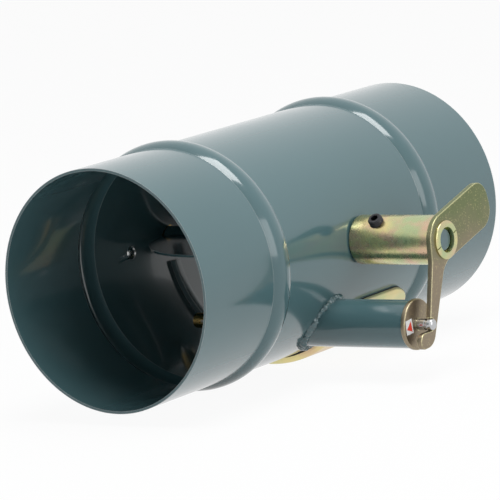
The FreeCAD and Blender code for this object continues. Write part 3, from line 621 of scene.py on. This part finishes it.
class DAMPER_OT_casing(bpy.types.Operator):
    """Build the round casing with its two beads and its openings"""
    bl_idname = "damper.casing"
    bl_label = "Casing"

    def execute(self, context):
        sizes = context.scene.damper_casing
        paint = paint_material("Casing paint", context.scene.damper_finishes.paint, 0.13)
        height = sizes.bead_height
        bead_r = (height ** 2 + sizes.bead_half ** 2) / (2 * height)
        bead_middle = sizes.radius + height - bead_r
        bore = sizes.radius - sizes.wall
        inner_half = math.sqrt((bead_r - sizes.wall) ** 2 - (bore - bead_middle) ** 2)
        low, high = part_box("far_side_bush")
        stud = middle("spring_anchor_stud")
        inputs = {
            "Length": CASING_HIGH.y - CASING_LOW.y, "Radius": sizes.radius, "Wall": sizes.wall,
            "Bead Crest": sizes.bead_crest, "Bead Height": height, "Bead Half Width": sizes.bead_half,
            "Inner Half Width": inner_half, "Around": sizes.around + 1,
            "Fuse Y": FUSE_LINE.y, "Fuse Z": FUSE_LINE.z, "Fuse Hole": STUB_R - sizes.wall,
            "Shaft Y": SHAFT_LINE.y, "Shaft Hole": (high.y - low.y) * 0.4, "Material": paint,
            "Stud Y": stud.y, "Stud Z": stud.z, "Stud Hole": STUD_HOLE_R,
            "Hatch Y": middle("access_cover").y, "Hatch Out": sizes.radius * HATCH_CUTTER_SHARE,
            "Hatch Turn": sizes.hatch_turn, "Hatch Width": sizes.hatch_width,
            "Hatch Length": sizes.hatch_length, "Screw Turn": sizes.screw_turn,
            "Screw Hole": sizes.screw_hole,
        }
        mesh = grown_mesh("casing_shell", casing_tree(paint), inputs)
        as_piece("casing_shell", smoothed(mesh), CASING, paint, ["casing_tube"])
        return {"FINISHED"}


class DAMPER_OT_painted(bpy.types.Operator):
    """Finish the painted parts: fuse stub, stop rings and blade"""
    bl_idname = "damper.painted"
    bl_label = "Painted parts"

    def execute(self, context):
        colour = context.scene.damper_finishes.paint
        paint = paint_material("Fitting paint", colour, 0.15)
        finish_nodes(["fuse_stub_tube", "lower_stop_ring", "upper_stop_ring"], CASING, paint)
        finish_nodes(["damper_blade"], ROTOR, paint)
        return {"FINISHED"}


class DAMPER_OT_weld(bpy.types.Operator):
    """Lay the rippled weld bead round the fuse stub"""
    bl_idname = "damper.weld"
    bl_label = "Weld bead"

    def execute(self, context):
        sizes = context.scene.damper_weld
        paint = paint_material("Weld paint", context.scene.damper_finishes.paint, 0.10)
        inputs = {
            "Casing Radius": context.scene.damper_casing.radius, "Stub Radius": STUB_R,
            "Stub Y": FUSE_LINE.y, "Stub Z": FUSE_LINE.z, "Bead Radius": sizes.bead,
            "Ripples": float(sizes.ripples), "Swell": sizes.swell, "Lump Height": sizes.lumps,
            "Points": 600, "Material": paint,
        }
        mesh = grown_mesh("stub_weld_bead", weld_tree(paint), inputs)
        as_piece("stub_weld_bead", smoothed(mesh), CASING, paint, ["stub_weld"])
        return {"FINISHED"}


class DAMPER_OT_plated(bpy.types.Operator):
    """Finish the yellow plated parts: sleeve, lever, fuse cap and access cover"""
    bl_idname = "damper.plated"
    bl_label = "Plated parts"

    def execute(self, context):
        finishes = context.scene.damper_finishes
        bright = plating_material("Yellow plating", finishes, 1.0, 0.27)
        pressed = plating_material("Yellow plating, pressed sheet", finishes, 0.5, 0.33)
        sheared = plate_material("Yellow plating, sheared plate", finishes)
        finish_nodes(["handle_sleeve"], ROTOR, bright)
        finish_nodes(["lever_plate"], ROTOR, sheared)
        finish_nodes(["fuse_cap"], CASING, sheared)
        finish_nodes(["access_cover"], CASING, pressed)
        return {"FINISHED"}


class DAMPER_OT_springs(bpy.types.Operator):
    """Coil the return spring and the fuse spring"""
    bl_idname = "damper.springs"
    bl_label = "Springs"

    def execute(self, context):
        sizes = context.scene.damper_springs
        steel = metal_material("Spring wire", context.scene.damper_finishes.steel, 0.32, grain=900.0)
        tree = coil_tree()
        low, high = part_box("torsion_spring")
        start = high.x - sizes.wire
        length = (high.x - low.x) - 2 * sizes.wire
        stud = middle("spring_anchor_stud")
        rest = sizes.wire + STUD_TOUCH
        reach = math.hypot(stud.y - SHAFT_LINE.y, stud.z - SHAFT_LINE.z)
        lean = math.atan2(stud.z - SHAFT_LINE.z, stud.y - SHAFT_LINE.y)
        turn = lean + math.acos((sizes.radius + rest) / reach)
        outwards = Vector((0, math.cos(turn), math.sin(turn)))
        inputs = {
            "Start X": start, "Length": -length, "Centre Y": SHAFT_LINE.y, "Centre Z": SHAFT_LINE.z,
            "Coil Radius": sizes.radius, "Turns": sizes.turns, "Start Turn": turn,
            "Wire Radius": sizes.wire, "Points": 260, "Material": steel,
        }
        mesh = grown_mesh("return_spring", tree, inputs)
        foot = Vector((start, SHAFT_LINE.y, SHAFT_LINE.z)) + outwards * sizes.radius
        tip = Vector((start, stud.y, stud.z)) - outwards * rest
        tip += (tip - foot).normalized() * LEG_PAST_STUD
        far_foot = foot + Vector((-length, 0, 0))
        inner = Vector((far_foot.x, SHAFT_LINE.y, SHAFT_LINE.z))
        inner = far_foot + (inner - far_foot).normalized() * INNER_LEG
        work = bmesh.new()
        work.from_mesh(mesh)
        add_rod(work, foot, tip, sizes.wire)
        add_rod(work, far_foot, inner, sizes.wire)
        work.to_mesh(mesh)
        work.free()
        as_piece("return_spring", smoothed(mesh), CASING, steel, ["torsion_spring"])
        low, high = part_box("fuse_spring")
        inputs.update({
            "Start X": low.x + sizes.fuse_wire, "Length": high.x - low.x - 2 * sizes.fuse_wire,
            "Centre Y": FUSE_LINE.y, "Centre Z": FUSE_LINE.z,
            "Coil Radius": (high.y - low.y) / 2 - sizes.fuse_wire, "Turns": sizes.fuse_turns,
            "Start Turn": 0.0, "Wire Radius": sizes.fuse_wire, "Points": 240,
        })
        mesh = grown_mesh("fuse_coil", tree, inputs)
        as_piece("fuse_coil", smoothed(mesh), CASING, steel, ["fuse_spring"])
        return {"FINISHED"}


def add_rod(work, start, end, radius):
    """A round-ended rod between two points."""
    axis = (end - start).normalized()
    turn = Vector((0, 0, 1)).rotation_difference(axis).to_matrix().to_4x4()
    steps = 16
    rings = []
    levels = []
    for i in range(1, 5):
        bend = math.pi / 2 * i / 4
        levels.append((-radius * math.cos(bend), radius * math.sin(bend)))
    rest = [((end - start).length - along, r) for along, r in reversed(levels)]
    for along, r in levels + rest:
        ring = []
        for j in range(steps):
            around = 2 * math.pi * j / steps
            point = Vector((r * math.cos(around), r * math.sin(around), along))
            ring.append(work.verts.new(start + turn @ point))
        rings.append(ring)
    for first, second in zip(rings, rings[1:]):
        for j in range(steps):
            k = (j + 1) % steps
            work.faces.new((first[j], first[k], second[k], second[j]))
    for ring, along in ((rings[0], -radius), (rings[-1], (end - start).length + radius)):
        pole = work.verts.new(start + turn @ Vector((0, 0, along)))
        for j in range(steps):
            k = (j + 1) % steps
            corners = (ring[k], ring[j], pole) if ring is rings[0] else (ring[j], ring[k], pole)
            work.faces.new(corners)


def set_screw_mesh(material):
    """The threaded set screw, turned to the direction of its hole."""
    centre = middle("handle_set_screw")
    axis = Vector((0, centre.y - SHAFT_LINE.y, centre.z - SHAFT_LINE.z)).normalized()
    across = axis.cross(Vector((1, 0, 0)))
    points = [v.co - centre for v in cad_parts["handle_set_screw"].data.vertices]
    half = max(p.dot(axis) for p in points)
    radius = max(p.dot(across) for p in points)
    inputs = {
        "Radius": radius, "Length": 2 * half, "Pitch": SCREW_PITCH, "Depth": SCREW_THREAD_DEPTH,
        "Socket Radius": SCREW_SOCKET_R, "Socket Depth": SCREW_SOCKET_DEPTH, "Rings": 90,
        "Material": material,
    }
    mesh = grown_mesh("set_screw_threaded", thread_tree(material), inputs)
    turn = Vector((0, 0, 1)).rotation_difference(axis).to_matrix().to_4x4()
    mesh.transform(Matrix.Translation(centre) @ turn)
    return smoothed(mesh)


def flat_mark(name, corners, x, thickness):
    """A thin printed field on the fuse cap, its corners stated from the fuse line."""
    work = bmesh.new()
    points = [work.verts.new((x, FUSE_LINE.y + y * MM, FUSE_LINE.z + z * MM)) for y, z in corners]
    face = work.faces.new(points)
    grown = bmesh.ops.extrude_face_region(work, geom=[face])
    moved = [item for item in grown["geom"] if isinstance(item, bmesh.types.BMVert)]
    bmesh.ops.translate(work, verts=moved, vec=(thickness, 0, 0))
    bmesh.ops.recalc_face_normals(work, faces=work.faces)
    mesh = bpy.data.meshes.new(name)
    work.to_mesh(mesh)
    work.free()
    return mesh


class DAMPER_OT_mark(bpy.types.Operator):
    """Print the plain pointer beside the fuse rod"""
    bl_idname = "damper.mark"
    bl_label = "Pointer mark"

    def execute(self, context):
        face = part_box("fuse_cap")[1].x
        white = plain_material("Mark ground", (0.80, 0.80, 0.78), 0.45)
        red = plain_material("Mark pointer", context.scene.damper_finishes.mark, 0.45)
        ground = ((-13.7, -4.3), (-6.2, -3.9), (-7.2, 5.0), (-13.9, 4.4))
        pointer = ((-13.2, -0.9), (-7.4, -3.0), (-8.3, 3.6))
        mesh = flat_mark("mark_ground", ground, face - 0.02 * MM, 0.08 * MM)
        as_piece("mark_ground", mesh, CASING, white, [])
        mesh = flat_mark("mark_pointer", pointer, face + 0.03 * MM, 0.09 * MM)
        as_piece("mark_pointer", mesh, CASING, red, [])
        return {"FINISHED"}


class DAMPER_OT_hardware(bpy.types.Operator):
    """Finish the screws, bushes, stud, collar, pins, gasket and fuse parts"""
    bl_idname = "damper.hardware"
    bl_label = "Hardware"

    def execute(self, context):
        finishes = context.scene.damper_finishes
        zinc = metal_material("Bright zinc", finishes.zinc, 0.28)
        steel = metal_material("Turned steel", finishes.steel, 0.24, grain=1400.0)
        brass = metal_material("Turned brass", finishes.brass, 0.26, grain=1200.0)
        black = metal_material("Black oxide", finishes.black, 0.38, metallic=0.3)
        alloy = metal_material("Cast alloy", finishes.zinc, 0.40, grain=300.0)
        rubber = plain_material("Gasket rubber", finishes.rubber, 0.62)
        finish_nodes(["spring_anchor_stud", "cover_screws", "cover_spacers", "cover_weld_nuts"],
                     CASING, zinc)
        finish_nodes(["handle_side_bush", "far_side_bush", "fuse_holder_tube", "fuse_end_collar"],
                     CASING, brass)
        finish_nodes(["fuse_alloy_ring"], CASING, alloy)
        finish_nodes(["cover_gasket"], CASING, rubber)
        finish_nodes(["blade_screws", "spring_collar"], ROTOR, zinc)
        finish_nodes(["collar_pin"], ROTOR, steel)
        finish_nodes(["damper_shaft"], ROTOR, bpy.data.materials["Fitting paint"])
        finish_nodes(["retaining_ring"], ROTOR, black)
        mesh = set_screw_mesh(black)
        as_piece("set_screw_threaded", mesh, ROTOR, black, ["handle_set_screw"])
        finish_nodes(["fuse_rod"], PLUNGER, steel)
        finish_nodes(["fuse_rod_collar"], PLUNGER, brass)
        return {"FINISHED"}


class DAMPER_OT_stage(bpy.types.Operator):
    """Place the floor, the lamps and the camera"""
    bl_idname = "damper.stage"
    bl_label = "Stage"

    def execute(self, context):
        levels = context.scene.damper_stage
        make_world(levels)
        make_floor()
        target = Vector((0, CASING_HIGH.y / 2, 0))
        add_lamp("Lamp above", target, (0.35, -0.15, 1.60), (0.9, 0.9), levels.key)
        add_lamp("Lamp at the handle side", target, (1.90, -0.30, 0.50), (1.2, 1.0), levels.side)
        add_camera(levels)
        context.scene.view_settings.view_transform = "Standard"
        return {"FINISHED"}


def seen_directly(w):
    """1 for rays that show a surface in the picture or in a reflection, 0 for those that light it."""
    rays = w.add("ShaderNodeLightPath").outputs
    seen = w.calc("MAXIMUM", rays["Is Camera Ray"], rays["Is Transmission Ray"])
    return w.calc("MAXIMUM", seen, rays["Is Glossy Ray"])


def make_world(levels):
    world = bpy.data.worlds.new("Studio")
    bpy.context.scene.world = world
    world.use_nodes = True
    world.node_tree.nodes.clear()
    w = Wiring(world.node_tree)
    seen = seen_directly(w)
    way = w.add("ShaderNodeSeparateXYZ", {0: w.add("ShaderNodeTexCoord").outputs["Generated"]})
    high = w.ramp(way.outputs[2], -0.10, 0.55)
    behind = w.ramp(way.outputs[1], -0.70, 0.60)
    level = w.calc("MULTIPLY_ADD", w.calc("MULTIPLY", high, behind), levels.sky, levels.world)
    soft = w.add("ShaderNodeBackground", {"Color": (0.94, 0.98, 1.0, 1), "Strength": level})
    plain = w.add("ShaderNodeBackground", {"Color": (1, 1, 1, 1), "Strength": 1.0})
    mixed = w.add("ShaderNodeMixShader", {0: seen, 1: soft.outputs[0], 2: plain.outputs[0]})
    w.add("ShaderNodeOutputWorld", {"Surface": mixed.outputs[0]})


def make_floor():
    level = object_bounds()[0].z - FLOOR_GAP
    mesh = bpy.data.meshes.new("floor")
    signs = ((-1, -1), (1, -1), (1, 1), (-1, 1))
    corners = [(x * FLOOR_HALF, y * FLOOR_HALF, level) for x, y in signs]
    mesh.from_pydata(corners, [], [(0, 1, 2, 3)])
    floor = bpy.data.objects.new("floor", mesh)
    bpy.context.scene.collection.objects.link(floor)
    material = bpy.data.materials.new("Pale floor")
    material.use_nodes = True
    material.node_tree.nodes.clear()
    w = Wiring(material.node_tree)
    share = w.calc("MULTIPLY", seen_directly(w), 0.94)
    matt = w.add("ShaderNodeBsdfDiffuse", {"Color": (0.80, 0.80, 0.80, 1)})
    plain = w.add("ShaderNodeEmission", {"Color": (1, 1, 1, 1), "Strength": 1.0})
    mixed = w.add("ShaderNodeMixShader", {0: share, 1: matt.outputs[0], 2: plain.outputs[0]})
    w.add("ShaderNodeOutputMaterial", {"Surface": mixed.outputs[0]})
    mesh.materials.append(material)
    floor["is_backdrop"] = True


def add_lamp(name, target, offset, size, power):
    data = bpy.data.lights.new(name, "AREA")
    data.shape = "RECTANGLE"
    data.size, data.size_y = size
    data.energy = power
    lamp = bpy.data.objects.new(name, data)
    lamp.location = target + Vector(offset)
    lamp.rotation_mode = "QUATERNION"
    lamp.rotation_quaternion = (-Vector(offset)).to_track_quat("-Z", "Y")
    bpy.context.scene.collection.objects.link(lamp)


def add_camera(levels):
    turn, rise, roll = levels.camera_turn, levels.camera_rise, levels.camera_roll
    back = Vector((math.sin(turn) * math.cos(rise), -math.cos(turn) * math.cos(rise), math.sin(rise)))
    right = Vector((math.cos(turn), math.sin(turn), 0))
    up = back.cross(right)
    leaned_right = math.cos(roll) * right + math.sin(roll) * up
    leaned_up = -math.sin(roll) * right + math.cos(roll) * up
    data = bpy.data.cameras.new("Camera")
    data.sensor_width = 36.0
    data.lens = levels.lens
    data.clip_start = 0.1
    data.clip_end = 50.0
    camera = bpy.data.objects.new("Camera", data)
    turned = Matrix((leaned_right, leaned_up, back)).transposed().to_4x4()
    camera.matrix_world = Matrix.Translation(CAMERA_PLACE) @ turned
    bpy.context.scene.collection.objects.link(camera)
    bpy.context.scene.camera = camera


class DAMPER_PT_panel(bpy.types.Panel):
    """Lists the damper's pieces and sizes"""
    bl_idname = "DAMPER_PT_panel"
    bl_label = "Inline duct damper"
    bl_space_type = "VIEW_3D"
    bl_region_type = "UI"
    bl_category = "Damper"

    def draw(self, context):
        for name in GROUPS:
            box = self.layout.box()
            group = getattr(context.scene, name)
            for prop in group.bl_rna.properties:
                if prop.identifier not in ("rna_type", "name"):
                    box.prop(group, prop.identifier)
        for operator in OPERATORS:
            self.layout.operator(operator.bl_idname)


GROUPS = {
    "damper_casing": CasingSizes,
    "damper_weld": WeldSizes,
    "damper_springs": SpringSizes,
    "damper_finishes": Finishes,
    "damper_stage": StageLevels,
}
OPERATORS = (
    DAMPER_OT_casing,
    DAMPER_OT_painted,
    DAMPER_OT_weld,
    DAMPER_OT_plated,
    DAMPER_OT_springs,
    DAMPER_OT_hardware,
    DAMPER_OT_mark,
    DAMPER_OT_stage,
)


def register():
    for name, group in GROUPS.items():
        bpy.utils.register_class(group)
        setattr(bpy.types.Scene, name, bpy.props.PointerProperty(type=group))
    for item in OPERATORS + (DAMPER_PT_panel,):
        bpy.utils.register_class(item)


def unregister():
    for item in reversed(OPERATORS + (DAMPER_PT_panel,)):
        bpy.utils.unregister_class(item)
    for name, group in GROUPS.items():
        delattr(bpy.types.Scene, name)
        bpy.utils.unregister_class(group)


def main():
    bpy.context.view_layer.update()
    register()
    bpy.ops.damper.casing()
    bpy.ops.damper.painted()
    bpy.ops.damper.weld()
    bpy.ops.damper.plated()
    bpy.ops.damper.springs()
    bpy.ops.damper.hardware()
    bpy.ops.damper.mark()
    bpy.ops.damper.stage()


if __name__ == "__main__":
    main()
